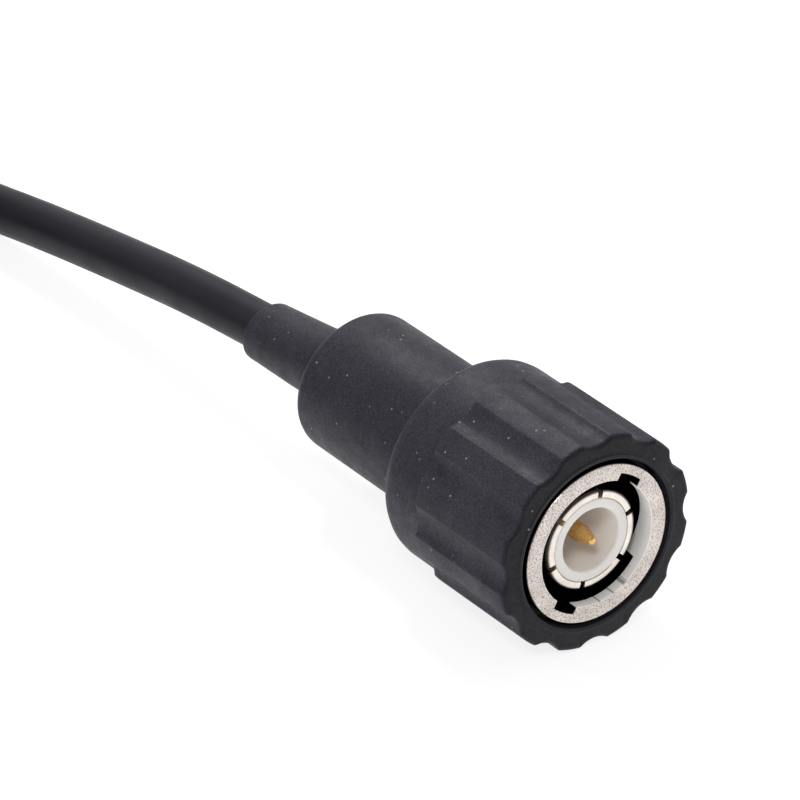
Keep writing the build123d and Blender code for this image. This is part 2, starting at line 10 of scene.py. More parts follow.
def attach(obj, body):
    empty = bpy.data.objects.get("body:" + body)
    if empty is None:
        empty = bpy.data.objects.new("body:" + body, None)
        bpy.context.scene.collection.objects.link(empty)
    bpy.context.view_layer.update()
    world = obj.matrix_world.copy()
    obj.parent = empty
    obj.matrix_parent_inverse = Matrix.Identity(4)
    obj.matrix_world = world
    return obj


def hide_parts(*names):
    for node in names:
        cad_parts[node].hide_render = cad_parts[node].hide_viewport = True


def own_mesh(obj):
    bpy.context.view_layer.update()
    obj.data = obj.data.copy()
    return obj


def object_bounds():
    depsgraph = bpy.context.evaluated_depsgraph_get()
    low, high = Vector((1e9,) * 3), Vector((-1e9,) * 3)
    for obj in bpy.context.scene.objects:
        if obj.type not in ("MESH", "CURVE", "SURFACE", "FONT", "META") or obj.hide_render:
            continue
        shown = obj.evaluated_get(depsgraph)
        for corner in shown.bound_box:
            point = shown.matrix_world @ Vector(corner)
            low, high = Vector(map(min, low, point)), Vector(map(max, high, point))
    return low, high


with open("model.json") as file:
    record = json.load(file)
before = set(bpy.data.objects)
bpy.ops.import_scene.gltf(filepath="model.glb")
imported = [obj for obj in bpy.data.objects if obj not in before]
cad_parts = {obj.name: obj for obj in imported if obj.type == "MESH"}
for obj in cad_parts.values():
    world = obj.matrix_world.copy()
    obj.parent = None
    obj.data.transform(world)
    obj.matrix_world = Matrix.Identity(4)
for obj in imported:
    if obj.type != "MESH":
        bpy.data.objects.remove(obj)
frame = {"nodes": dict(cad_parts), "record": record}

cad_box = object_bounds()
MM = 0.001
FLOOR = cad_box[0][2]

# --- camera and light -------------------------------------------------------------------------------------
AZIMUTH = math.radians(53.35)
ELEVATION = math.radians(30.5)
CAMERA_AWAY = 450
CAMERA_RIGHT = -14.05
CAMERA_UP = 10.27
LENS = 284.2
RIGHT = Vector((math.cos(AZIMUTH), math.sin(AZIMUTH), 0))
BACK = Vector(
    (
        math.sin(AZIMUTH) * math.cos(ELEVATION),
        -math.cos(AZIMUTH) * math.cos(ELEVATION),
        math.sin(ELEVATION),
    )
)
UP = BACK.cross(RIGHT)
PLUG_MIDDLE = Vector((-15 * MM, 0, 0))


def facing(position, right, up, back):
    """A matrix at that position, with its own X, Y and Z along the three directions."""
    matrix = Matrix((right, up, back)).transposed().to_4x4()
    matrix.translation = position
    return matrix


def add_camera():
    camera = bpy.data.objects.new("camera", bpy.data.cameras.new("camera"))
    bpy.context.collection.objects.link(camera)
    camera.data.lens = LENS
    camera.data.clip_start = 0.01
    camera.data.clip_end = 10
    position = (BACK * CAMERA_AWAY + RIGHT * CAMERA_RIGHT + UP * CAMERA_UP) * MM
    camera.matrix_world = facing(position, RIGHT, UP, BACK)
    bpy.context.scene.camera = camera


def add_softbox(name, direction, distance, size, watts):
    """A square area light that looks at the plug's middle from that direction."""
    light = bpy.data.objects.new(name, bpy.data.lights.new(name, "AREA"))
    bpy.context.collection.objects.link(light)
    light.data.size = size
    light.data.energy = watts
    back = direction.normalized()
    right = Vector((0, 0, 1)).cross(back).normalized()
    light.matrix_world = facing(PLUG_MIDDLE + back * distance, right, back.cross(right), back)


def add_light():
    """A pale studio that is darker on the camera's side, and three soft boxes."""
    world = bpy.data.worlds.new("studio")
    world.use_nodes = True
    tree = world.node_tree
    direction = add_node(tree, "ShaderNodeTexCoord").outputs["Generated"]
    towards = add_node(tree, "ShaderNodeVectorMath", {0: direction, 1: BACK}, operation="DOT_PRODUCT")
    glow = ramp(tree, towards.outputs["Value"], (0.0, 0.75), (0.35, 0.5), (0.95, 0.14))
    tree.links.new(glow, tree.nodes["Background"].inputs["Color"])
    bpy.context.scene.world = world
    bpy.context.scene.view_settings.view_transform = "Standard"
    add_softbox("key", UP - RIGHT * 0.1 - BACK * 0.1, distance=0.5, size=0.13, watts=1.2)
    add_softbox("fill", UP * 0.5 - RIGHT * 0.9 + BACK * 0.3, distance=0.6, size=0.12, watts=0.2)
    add_softbox("front", UP * 0.3 - RIGHT * 0.1 + BACK, distance=0.6, size=0.12, watts=0.8)


# --- materials --------------------------------------------------------------------------------------------
def add_node(tree, kind, inputs=None, **settings):
    """A shader node. An input given a socket is linked to it, and one given a value holds that value."""
    made = tree.nodes.new(kind)
    for key, value in settings.items():
        setattr(made, key, value)
    for key, value in (inputs or {}).items():
        if isinstance(value, bpy.types.NodeSocket):
            tree.links.new(value, made.inputs[key])
        else:
            made.inputs[key].default_value = value
    return made


def new_material(name):
    """A material with its tree, its surface shader and a socket that gives the place on the piece."""
    material = bpy.data.materials.new(name)
    material.use_nodes = True
    tree = material.node_tree
    here = add_node(tree, "ShaderNodeTexCoord").outputs["Object"]
    return material, tree, tree.nodes["Principled BSDF"], here


def noise(tree, where, scale, detail=3.0, roughness=0.55):
    """Noise from 0 to 1, with about that many cells to a metre."""
    inputs = {"Vector": where, "Scale": scale, "Detail": detail, "Roughness": roughness}
    return add_node(tree, "ShaderNodeTexNoise", inputs).outputs["Fac"]


def ramp(tree, factor, *stops):
    """A colour ramp through (place, grey or colour) stops."""
    made = add_node(tree, "ShaderNodeValToRGB", {"Fac": factor})
    elements = made.color_ramp.elements
    while len(elements) < len(stops):
        elements.new(0.5)
    for element, (place, colour) in zip(elements, stops):
        element.position = place
        colour = (colour,) * 3 if isinstance(colour, (int, float)) else colour
        element.color = (*colour, 1)
    return made.outputs["Color"]


def mixed(tree, factor, first, second, how="MIX"):
    """Two colours, each a socket or a value, mixed by a factor."""
    made = add_node(tree, "ShaderNodeMix", data_type="RGBA", blend_type=how)
    for socket, value in ((made.inputs[0], factor), (made.inputs[6], first), (made.inputs[7], second)):
        if isinstance(value, bpy.types.NodeSocket):
            tree.links.new(value, socket)
        elif socket.type == "RGBA":
            socket.default_value = (*value, 1)
        else:
            socket.default_value = value
    return made.outputs[2]


def rough_up(tree, surface, height, depth_mm, strength=1.0, below=None):
    """Bumps on the surface from a height, over those of another bump, whose normal is below."""
    inputs = {"Height": height, "Distance": depth_mm * MM, "Strength": strength}
    if below is not None:
        inputs["Normal"] = below
    bump = add_node(tree, "ShaderNodeBump", inputs)
    tree.links.new(bump.outputs["Normal"], surface.inputs["Normal"])
    return bump.outputs["Normal"]


def moulded(name, dark, light, roughness, grain_mm=0.13, depth_mm=0.02, dust=0.06, painted_face_shade=False):
    """Moulded black plastic: mottled, finely grained, with a few pale specks of dust.

    With the face option set, the front face of the plug gets painted shade: its colour is darker than its
    sides'.
    """
    material, tree, surface, here = new_material(name)
    mottle = ramp(tree, noise(tree, here, 260, 5), (0.3, dark), (0.72, light))
    grain = noise(tree, here, 1 / (grain_mm * MM), 3, 0.7)
    contrast = ramp(tree, grain, (0.34, 0.45), (0.5, 1.0), (0.66, 1.9))
    mottle = mixed(tree, 1.0, mottle, contrast, "MULTIPLY")
    cells = add_node(tree, "ShaderNodeTexVoronoi", {"Vector": here, "Scale": 950.0, "Randomness": 1.0})
    spot = ramp(tree, cells.outputs["Distance"], (dust * 0.7, 1.0), (dust * 1.7, 0.0))
    chosen = ramp(tree, noise(tree, here, 170, 2), (0.46, 0.0), (0.52, 1.0))
    specks = mixed(tree, 1.0, spot, chosen, "MULTIPLY")
    # Painted shade: the front face's colour is multiplied darker to stand in for the shade on it.
    if painted_face_shade:
        on_face = between(tree, from_axis(tree, here)[0], -0.3, -0.12)
        face_in_painted_shade = mixed(tree, 1.0, mottle, (0.4, 0.39, 0.36), "MULTIPLY")
        mottle = mixed(tree, on_face, mottle, face_in_painted_shade)
    colour = mixed(tree, specks, mottle, (0.27, 0.265, 0.265))
    tree.links.new(colour, surface.inputs["Base Color"])
    shine = ramp(tree, noise(tree, here, 900, 4), (0.3, roughness - 0.07), (0.7, roughness + 0.08))
    tree.links.new(shine, surface.inputs["Roughness"])
    surface.inputs["Specular IOR Level"].default_value = 0.2
    coarse = rough_up(tree, surface, noise(tree, here, 1300, 4), 0.05, 0.6)
    rough_up(tree, surface, grain, depth_mm, 0.9, coarse)
    return material


def plated(name, colour, shade, roughness, grain_mm, depth_mm):
    """Plated metal: a fine grain, slightly uneven in colour."""
    material, tree, surface, here = new_material(name)
    grain = noise(tree, here, 1 / (grain_mm * MM), 4, 0.65)
    tone = ramp(tree, noise(tree, here, 420, 5), (0.3, shade), (0.7, colour))
    tree.links.new(tone, surface.inputs["Base Color"])
    surface.inputs["Metallic"].default_value = 1.0
    shine = ramp(tree, grain, (0.3, roughness + 0.12), (0.7, roughness - 0.06))
    tree.links.new(shine, surface.inputs["Roughness"])
    rough_up(tree, surface, grain, depth_mm, 0.8)
    return material


def from_axis(tree, here):
    """The place along the plug's axis, the distance from the axis, and the direction from it."""
    apart = add_node(tree, "ShaderNodeSeparateXYZ", {"Vector": here})
    flat = add_node(tree, "ShaderNodeCombineXYZ", {"Y": apart.outputs["Y"], "Z": apart.outputs["Z"]})
    away = add_node(tree, "ShaderNodeVectorMath", {0: flat.outputs[0]}, operation="LENGTH")
    outward = add_node(tree, "ShaderNodeVectorMath", {0: flat.outputs[0]}, operation="NORMALIZE")
    return apart.outputs["X"], away.outputs["Value"], outward.outputs[0]


def between(tree, value, low_mm, high_mm):
    """0 up to the lower size, rising to 1 at the higher one."""
    span = {"Value": value, "From Min": low_mm * MM, "From Max": high_mm * MM}
    return add_node(tree, "ShaderNodeMapRange", span).outputs["Result"]


def cast_ring(name):
    """Cast and plated metal: a sparkling grain on its face, a painted reflection in pale and dark bands on
    the lip's bore wall, and painted shade in the chamber behind the lip.
    """
    material, tree, surface, here = new_material(name)
    x, away, outward = from_axis(tree, here)
    grain = noise(tree, here, 7000, 4, 0.7)
    patches = noise(tree, here, 700, 4)
    tone = ramp(tree, patches, (0.3, (0.58, 0.52, 0.48)), (0.7, (0.78, 0.72, 0.68)))
    tone = mixed(tree, ramp(tree, grain, (0.36, 1.0), (0.5, 0.0)), tone, (0.2, 0.16, 0.14))
    # Painted reflection: the lip's bore wall gets pale and dark bands round the axis in place of the mirror
    # image of the studio.
    reflection_bands = noise(tree, outward, 9, 3)
    painted_reflection = ramp(tree, reflection_bands, (0.34, (0.35, 0.32, 0.29)), (0.42, (1.0, 0.98, 0.95)))
    on_face = between(tree, away, 5.0, 5.04)
    tone = mixed(tree, on_face, painted_reflection, tone)
    # Painted shade: behind the lip and outside its bore, the ring's colour is near black, standing in for the
    # shade in the chamber.
    at_front = between(tree, x, -0.1, -0.04)
    behind = add_node(tree, "ShaderNodeMath", {0: 1.0, 1: at_front}, operation="SUBTRACT").outputs[0]
    past_lip = between(tree, away, 5.02, 5.1)
    painted_chamber_shade = add_node(tree, "ShaderNodeMath", {0: behind, 1: past_lip}, operation="MULTIPLY").outputs[0]
    tone = mixed(tree, painted_chamber_shade, tone, (0.016, 0.012, 0.009))
    tree.links.new(tone, surface.inputs["Base Color"])
    tree.links.new(on_face, surface.inputs["Metallic"])
    rough = ramp(tree, grain, (0.3, 0.44), (0.7, 0.26))
    tree.links.new(mixed(tree, on_face, (0.5, 0.5, 0.5), rough), surface.inputs["Roughness"])
    depth = add_node(tree, "ShaderNodeMath", {0: grain, 1: on_face}, operation="MULTIPLY").outputs[0]
    rough_up(tree, surface, depth, 0.014, 0.8)
    return material


def contact_metal(name):
    """Bright plated metal, with painted shade down its outer wall."""
    material, tree, surface, here = new_material(name)
    away = from_axis(tree, here)[1]
    grain = noise(tree, here, 5200, 4)
    tone = ramp(tree, noise(tree, here, 900, 4), (0.3, (0.74, 0.68, 0.61)), (0.7, (0.92, 0.88, 0.82)))
    # Painted shade: past a radius of 3.74 mm the colour goes near black, standing in for the shade in the gap
    # round the contact.
    tone = mixed(tree, between(tree, away, 3.74, 3.88), tone, (0.07, 0.055, 0.045))
    tree.links.new(tone, surface.inputs["Base Color"])
    surface.inputs["Metallic"].default_value = 1.0
    tree.links.new(ramp(tree, grain, (0.3, 0.4), (0.7, 0.24)), surface.inputs["Roughness"])
    rough_up(tree, surface, grain, 0.01, 0.7)
    return material


def waxy(name, front, bore, outer_wall_shade, inner_r, outer_r):
    """White fluoropolymer, a little translucent, with its bore coloured paler than its front as painted
    light, and its outer wall coloured tan as painted shade where it sits inside the metal.
    """
    material, tree, surface, here = new_material(name)
    x, away, _ = from_axis(tree, here)
    rim = between(tree, away, inner_r, outer_r)
    # Painted light: deeper than 1.1 mm the bore gets a paler, warmer colour than the front, brightening the
    # recess.
    front_and_brightened_bore = mixed(tree, between(tree, x, -1.1, -0.75), bore, front)
    worn = ramp(tree, noise(tree, here, 500, 4), (0.3, 1.0), (0.7, 0.95))
    tone = mixed(tree, 1.0, front_and_brightened_bore, worn, "MULTIPLY")
    # Painted shade: the outer wall, seen through the contact's slots, is coloured tan in place of the shade
    # on white.
    tone = mixed(tree, ramp(tree, rim, (0.93, 0.0), (1.0, 1.0)), tone, outer_wall_shade)
    tree.links.new(tone, surface.inputs["Base Color"])
    surface.inputs["Roughness"].default_value = 0.38
    surface.inputs["Subsurface Weight"].default_value = 0.25
    surface.inputs["Subsurface Radius"].default_value = (0.8 * MM, 0.7 * MM, 0.6 * MM)
    surface.inputs["Subsurface Scale"].default_value = 1.0
    rough_up(tree, surface, noise(tree, here, 1800, 3), 0.01, 0.5)
    return material


def jacket(name):
    """A smooth satin PVC jacket with faint rub marks along it."""
    material, tree, surface, here = new_material(name)
    dark, light = (0.007, 0.0072, 0.013), (0.012, 0.0122, 0.020)
    tone = ramp(tree, noise(tree, here, 120, 4), (0.3, dark), (0.75, light))
    tree.links.new(tone, surface.inputs["Base Color"])
    surface.inputs["Specular IOR Level"].default_value = 0.2
    shine = ramp(tree, noise(tree, here, 380, 5), (0.3, 0.40), (0.7, 0.52))
    tree.links.new(shine, surface.inputs["Roughness"])
    wave = rough_up(tree, surface, noise(tree, here, 260, 2), 0.03, 0.35)
    rough_up(tree, surface, noise(tree, here, 3800, 3), 0.006, 0.6, wave)
    return material


def woven(name, dark, light):
    """A hook-and-loop strap: a fuzzy weave."""
    material, tree, surface, here = new_material(name)
    waves = {"Vector": here, "Scale": 900.0, "Distortion": 1.5, "Detail": 2.0}
    across = add_node(tree, "ShaderNodeTexWave", waves, bands_direction="X").outputs["Fac"]
    along = add_node(tree, "ShaderNodeTexWave", waves, bands_direction="DIAGONAL").outputs["Fac"]
    weave = mixed(tree, 0.5, across, along)
    fuzz = noise(tree, here, 4200, 5, 0.8)
    height = mixed(tree, 0.55, weave, fuzz)
    tree.links.new(ramp(tree, height, (0.3, dark), (0.75, light)), surface.inputs["Base Color"])
    surface.inputs["Roughness"].default_value = 0.95
    surface.inputs["Sheen Weight"].default_value = 0.35
    rough_up(tree, surface, height, 0.16, 0.9)
    return material


def drawn(name, colour, roughness):
    """Drawn or rolled bright metal with fine lines along X."""
    material, tree, surface, here = new_material(name)
    stretched = add_node(tree, "ShaderNodeMapping", {"Vector": here, "Scale": (0.08, 1, 1)}).outputs[0]
    lines = noise(tree, stretched, 6500, 4, 0.7)
    shade = tuple(0.72 * c for c in colour)
    tree.links.new(ramp(tree, lines, (0.3, shade), (0.7, colour)), surface.inputs["Base Color"])
    surface.inputs["Metallic"].default_value = 1.0
    shine = ramp(tree, lines, (0.3, roughness + 0.1), (0.7, roughness - 0.05))
    tree.links.new(shine, surface.inputs["Roughness"])
    rough_up(tree, surface, lines, 0.006, 0.6)
    return material


def coloured(name, dark, light, roughness):
    """A small coloured moulding, a ceramic or a lacquered part."""
    material, tree, surface, here = new_material(name)
    tone = ramp(tree, noise(tree, here, 600, 5), (0.3, dark), (0.7, light))
    tree.links.new(tone, surface.inputs["Base Color"])
    grain = noise(tree, here, 1 / (0.3 * MM), 3)
    shine = ramp(tree, grain, (0.3, roughness - 0.05), (0.7, roughness + 0.08))
    tree.links.new(shine, surface.inputs["Roughness"])
    rough_up(tree, surface, grain, 0.012, 0.6)
    return material


MATERIALS = {
    "knob_black": moulded(
        "knob_black", (0.0203, 0.0195, 0.0294), (0.0343, 0.0332, 0.0471), 0.5, painted_face_shade=True
    ),
    "soft_black": moulded("soft_black", (0.017, 0.0162, 0.0255), (0.029, 0.028, 0.041), 0.5),
    "head_black": moulded("head_black", (0.012, 0.012, 0.014), (0.02, 0.02, 0.023), 0.55, 0.2),
    "nose_black": moulded("nose_black", (0.01, 0.01, 0.011), (0.017, 0.017, 0.019), 0.36, 0.4, 0.006),
    "cable_jacket": jacket("cable_jacket"),
    "tie_black": woven("tie_black", (0.008, 0.008, 0.009), (0.035, 0.035, 0.038)),
    "ring_nickel": cast_ring("ring_nickel"),
    "contact_nickel": contact_metal("contact_nickel"),
    "nickel": plated("nickel", (0.72, 0.69, 0.64), (0.55, 0.52, 0.48), 0.3, 0.3, 0.008),
    "gold": plated("gold", (0.86, 0.56, 0.22), (0.62, 0.36, 0.13), 0.24, 0.25, 0.01),
    # Front colour, bore colour (paler, as painted light), outer wall colour (tan, as painted shade), then the
    # radii.
    "white_ptfe": waxy("white_ptfe", (0.90, 0.87, 0.83), (0.985, 0.935, 0.89), (0.74, 0.5, 0.28), 3.0, 3.3),
    "silicone": coloured("silicone", (0.32, 0.08, 0.05), (0.45, 0.13, 0.08), 0.5),
    "spring_steel": drawn("spring_steel", (0.66, 0.66, 0.67), 0.28),
    "ferrule_tin": drawn("ferrule_tin", (0.6, 0.6, 0.58), 0.35),
    "copper_braid": drawn("copper_braid", (0.72, 0.42, 0.26), 0.4),
    "copper_wire": drawn("copper_wire", (0.75, 0.38, 0.2), 0.3),
    "marker_blue": coloured("marker_blue", (0.02, 0.09, 0.36), (0.035, 0.14, 0.48), 0.42),
    "board_green": coloured("board_green", (0.01, 0.12, 0.05), (0.02, 0.18, 0.08), 0.35),
    "chip_tan": coloured("chip_tan", (0.35, 0.25, 0.16), (0.5, 0.38, 0.26), 0.5),
    "trimmer_cream": coloured("trimmer_cream", (0.66, 0.62, 0.5), (0.78, 0.74, 0.62), 0.45),
    "resistor_blue": coloured("resistor_blue", (0.15, 0.35, 0.5), (0.22, 0.45, 0.6), 0.3),
    "slider_grey": coloured("slider_grey", (0.2, 0.2, 0.21), (0.28, 0.28, 0.29), 0.5),
}


# --- mesh tools -------------------------------------------------------------------------------------------
SHARP = 38


def finished(name, mesh, sharp=SHARP):
    """The bmesh as an object, smooth but for edges sharper than that many degrees."""
    data = bpy.data.meshes.new(name)
    mesh.to_mesh(data)
    mesh.free()
    data.polygons.foreach_set("use_smooth", [True] * len(data.polygons))
    data.set_sharp_from_angle(angle=math.radians(sharp))
    made = bpy.data.objects.new(name, data)
    bpy.context.collection.objects.link(made)
    return made


def skinned(mesh, rings, closed):
    """Faces from each ring of points to the next, with a cap at each end or, if closed, a last join."""
    made = [[mesh.verts.new(point) for point in ring] for ring in rings]
    count = len(made[0])
    following = made[1:] + made[:1] if closed else made[1:]
    for low, high in zip(made, following):
        for i in range(count):
            j = (i + 1) % count
            mesh.faces.new((low[i], low[j], high[j], high[i]))
    if not closed:
        mesh.faces.new(made[0])
        mesh.faces.new(reversed(made[-1]))


def tidied(mesh):
    bmesh.ops.remove_doubles(mesh, verts=mesh.verts, dist=1e-7)
    bmesh.ops.recalc_face_normals(mesh, faces=mesh.faces)
    return mesh


def rounded(corners, steps=4):
    """The closed outline through (x, y) or (x, y, radius) corners, each given radius as an arc."""
    outline = []
    for i, (x, y, *radius) in enumerate(corners):
        corner = Vector((x, y))
        if not radius:
            outline.append((x, y))
            continue
        before = Vector(corners[i - 1][:2]) - corner
        after = Vector(corners[(i + 1) % len(corners)][:2]) - corner
        half = before.angle(after) / 2
        back = min(radius[0] / math.tan(half), 0.5 * before.length, 0.5 * after.length)
        start = corner + before.normalized() * back
        end = corner + after.normalized() * back
        reach = back / math.cos(half)
        centre = corner + (before.normalized() + after.normalized()).normalized() * reach
        first = math.atan2(*(start - centre).yx)
        sweep = math.remainder(math.atan2(*(end - centre).yx) - first, math.tau)
        size = (start - centre).length
        for k in range(steps + 1):
            angle = first + sweep * k / steps
            outline.append((centre.x + size * math.cos(angle), centre.y + size * math.sin(angle)))
    return outline


def turn_into(mesh, outline, angles, closed=True, centre=(0, 0)):
    """Sweeps an outline of (x, radius) in mm, or one that depends on the angle, about an axis along X."""
    rings = []
    for angle in angles:
        points = outline(angle) if callable(outline) else outline
        y, z = math.cos(angle), math.sin(angle)
        rings.append([Vector((x, centre[0] + r * y, centre[1] + r * z)) * MM for x, r in points])
    skinned(mesh, rings, closed)


def round_angles(count):
    return [math.tau * i / count for i in range(count)]


def turned(name, outline, count=128, centre=(0, 0)):
    """An outline of (x, radius) swept all the way round."""
    mesh = bmesh.new()
    turn_into(mesh, outline, round_angles(count), True, centre)
    return finished(name, tidied(mesh))


def prism(mesh, outline, low, high, located):
    """A block on an outline, from low to high, with its top edge rounded. located maps a point to metres."""
    edge = min(0.25, 0.2 * (high - low))
    middle = Vector((sum(x for x, _ in outline), sum(y for _, y in outline))) / len(outline)
    layers = [(low, 0.0), (high - edge, 0.0)]
    for angle in (0.4, 0.8, 1.2, math.pi / 2):
        layers.append((high - edge + edge * math.sin(angle), edge * (1 - math.cos(angle))))
    rings = []
    for z, inset in layers:
        ring = []
        for x, y in outline:
            out = Vector((x, y)) - middle
            ring.append(located(*(middle + out * (1 - inset / out.length)), z))
        rings.append(ring)
    skinned(mesh, rings, False)


def cut(piece, cutter):
    """Takes the cutter's shape out of the piece, for good."""
    change = piece.modifiers.new("cut", "BOOLEAN")
    change.operation = "DIFFERENCE"
    change.solver = "EXACT"
    change.object = cutter
    done = bpy.data.meshes.new_from_object(piece.evaluated_get(bpy.context.evaluated_depsgraph_get()))
    piece.modifiers.clear()
    piece.data = done
    piece.data.set_sharp_from_angle(angle=math.radians(SHARP))
    bpy.data.objects.remove(cutter)


def soften(piece, width_mm, degrees):
    """Rounds the piece's edges that are sharper than that many degrees."""
    bevel = piece.modifiers.new("soft edges", "BEVEL")
    bevel.width = width_mm * MM
    bevel.segments = 2
    bevel.limit_method = "ANGLE"
    bevel.angle_limit = math.radians(degrees)
    bevel.harden_normals = False


def place(piece, body, slot, *nodes):
    """Puts the piece on its body, in place of those CAD nodes, with its slot's material."""
    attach(piece, body)
    if nodes:
        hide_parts(*nodes)
    piece.data.materials.clear()
    piece.data.materials.append(MATERIALS[slot])
    return piece


# --- the cable: out of the plug, into the hank, round it, and out to the head -----------------------------
CABLE_D = 3.8
LYING_Z = FLOOR / MM + CABLE_D / 2 + 0.05
HEAD_R = 7.25
HEAD_Y = -35.2
HEAD_Z = FLOOR / MM + HEAD_R
RUN_TO_HANK = [
    (-23.5, 0, 0),
    (-30, 0, 0),
    (-41, 0, -1.05),
    (-50, -0.05, -1.96),
    (-60, -0.25, -3.43),
    (-70, -0.85, -4.72),
    (-79, -2.0, -5.8),
    (-86.5, -0.3, LYING_Z),
    (-92.8, 2.9, LYING_Z),
    (-100, 5.6, LYING_Z),
]
RUN_TO_HEAD = [
    (-148, 5.5, LYING_Z + 3.8),
    (-158.6, 6.0, LYING_Z + 3.2),
    (-168.2, 0.7, LYING_Z + 1.8),
    (-173.8, -8.9, LYING_Z + 0.6),
    (-173.8, -20.1, LYING_Z + 0.6),
    (-168.2, -29.7, LYING_Z + 2.8),
    (-158.6, HEAD_Y, HEAD_Z),
    (-148, HEAD_Y, HEAD_Z),
]

# The hank has a round bulb at each end and a tied waist between them. Its strands lie in two columns of three
# layers: a column is a bulb's radius and the distance from the hank's middle line at the waist.
HANK_Y = -10.0
HANK_FRONT = -100.0
HANK_SPAN = 46.0
HANK_MIDDLE = HANK_FRONT - HANK_SPAN / 2
STRAND_GAP = 3.87
TIED_GAP = 3.52
TIED_LIFT = 0.95
COLUMNS = {"inner": (11.4, 2.0), "outer": (15.2, 5.85)}
TURNS = [("outer", 0), ("inner", 0), ("inner", 1), ("inner", 2), ("outer", 2), ("outer", 1)]
WAIST_HALF = 4.0
STEP = 30
CONTROL_REACH = 1 / math.cos(math.radians(STEP / 2))
UNEVEN = 0.14
STATIONS_TO_FAR_BULB = 6


def bulb_point(end, degrees, column, layer):
    """A control point at that angle round the front bulb or the far one."""
    reach = column[0] * CONTROL_REACH
    x = HANK_FRONT if end == "front" else HANK_FRONT - HANK_SPAN
    angle = math.radians(degrees)
    return Vector((x + reach * math.cos(angle), HANK_Y + reach * math.sin(angle), layer * STRAND_GAP))


def waist_point(end, side, column, layer):
    """A control point at the front or the far end of the waist, on its +Y side (1) or its -Y side (-1)."""
    x = HANK_MIDDLE + (WAIST_HALF if end == "front" else -WAIST_HALF)
    return Vector((x, HANK_Y + side * column[1], TIED_LIFT + layer * TIED_GAP))


def drift(degrees):
    """How much of the move to the next turn's place is done, at that angle round the front bulb."""
    share = min(max((degrees - 270) / 150, 0), 1)
    return share * share * (3 - 2 * share)


def hank_turn(now, after, rng):
    """One turn's control points, from the front bulb's +Y side, moving to the next turn's place at its end.

    now and after are the two turns' places, each the name of a column and a layer.
    """

    def round_bulb(end, degrees):
        share = drift(degrees) if end == "front" else 0
        column = [a + (b - a) * share for a, b in zip(COLUMNS[now[0]], COLUMNS[after[0]])]
        point = bulb_point(end, degrees, column, now[1] + (after[1] - now[1]) * share)
        point += Vector([rng.uniform(-UNEVEN, UNEVEN) for _ in "xyz"])
        point.z = max(point.z, 0.0)
        return point

    def along_waist(side, *ends):
        return [waist_point(end, side, COLUMNS[now[0]], now[1]) for end in ends]

    first = round_bulb("front", 120)
    there = along_waist(1, "front", "far")
    far = [round_bulb("far", degrees) for degrees in range(60, 301, STEP)]
    home = along_waist(-1, "far", "front")
    front = [round_bulb("front", degrees) for degrees in range(240, 451, STEP)]
    points = [first, (first + there[0]) / 2, *there, (there[1] + far[0]) / 2]
    points += [*far, (far[-1] + home[0]) / 2, *home, (home[1] + front[0]) / 2, *front]
    return [(p.x, p.y, LYING_Z + p.z) for p in points]


def cable_points():
    """The control points of the whole cable, in mm."""
    rng = random.Random(7)
    points = list(RUN_TO_HANK)
    for now, after in zip(TURNS, TURNS[1:] + TURNS[-1:]):
        points += hank_turn(now, after, rng)
    leaving = hank_turn(TURNS[-1], TURNS[-1], rng)
    return points + leaving[:STATIONS_TO_FAR_BULB] + RUN_TO_HEAD


def add_cable():
    """One jacket from the boot to the head. Its radius is in mm; the control points scale it to metres."""
    curve = bpy.data.curves.new("cable", "CURVE")
    curve.dimensions = "3D"
    spline = curve.splines.new("NURBS")
    points = cable_points()
    spline.points.add(len(points) - 1)
    for control, point in zip(spline.points, points):
        control.co = (*(Vector(point) * MM), 1)
        control.radius = MM
    spline.order_u = 3
    spline.use_endpoint_u = True
    spline.resolution_u = 5
    curve.bevel_depth = CABLE_D / 2
    curve.bevel_resolution = 7
    curve.use_fill_caps = True
    cable = bpy.data.objects.new("cable", curve)
    bpy.context.collection.objects.link(cable)
    return place(cable, "probe", "cable_jacket", "cable_to_hank", "cable_hank", "cable_to_head")


def add_tie():
    """A strap round the hank's waist, its end lapped over itself on top."""

    def on_hank(x, y, z):
        return Vector(((HANK_MIDDLE + x) * MM, (HANK_Y + y) * MM, FLOOR + z * MM))

    low, high, half_y, corner = 0.05, 12.81, 9.0, 3.0
    path = [(half_y, low, corner), (half_y, high, corner), (-half_y, high, corner), (-half_y, low, corner)]
    path = rounded(path, 8)
    thick, half_x, edge = 1.2, 3.5, 0.3
    section = [(-half_x, 0, edge), (half_x, 0, edge), (half_x, thick, edge), (-half_x, thick, edge)]
    section = rounded(section, 3)
    middle = Vector((0, high / 2))
    mesh = bmesh.new()
    rings = []
    for i, (y, z) in enumerate(path):
        along = (Vector(path[(i + 1) % len(path)]) - Vector(path[i - 1])).normalized()
        inward = Vector((-along.y, along.x))
        if inward.dot(middle - Vector((y, z))) < 0:
            inward = -inward
        rings.append([on_hank(x, *(Vector((y, z)) + inward * depth)) for x, depth in section])
    skinned(mesh, rings, True)
    lap = rounded([(-3.4, -7.9, 1.2), (3.4, -7.9, 1.2), (3.4, 1.5, 1.6), (-3.4, 1.5, 1.6)], 4)
    prism(mesh, lap, high - 0.3, high + 0.75, on_hank)
    return place(finished("hank_strap", tidied(mesh)), "probe", "tie_black", "hank_tie")


# --- the plug ---------------------------------------------------------------------------------------------
RIB_R = 8.57
DRUM_R = 8.15
RIB_COUNT = 12
VALLEY_REACH = 10.4
VALLEY_ROUND = 2.3
VALLEY_BLEND = 0.05
KNOB_FRONT = -0.07
RIB_END = -10.5
DRUM_END = -13.9
DRUM_ROUND = 1.4
NOTCH = math.radians(57)
NOTCH_HALF = math.radians(11.6)
NOTCH_BLEND = math.radians(1.0)
LIP_THICK = 0.85
CAM_START = math.radians(14)
CAM_SPAN = math.radians(78)
CAM_RISE = 1.1


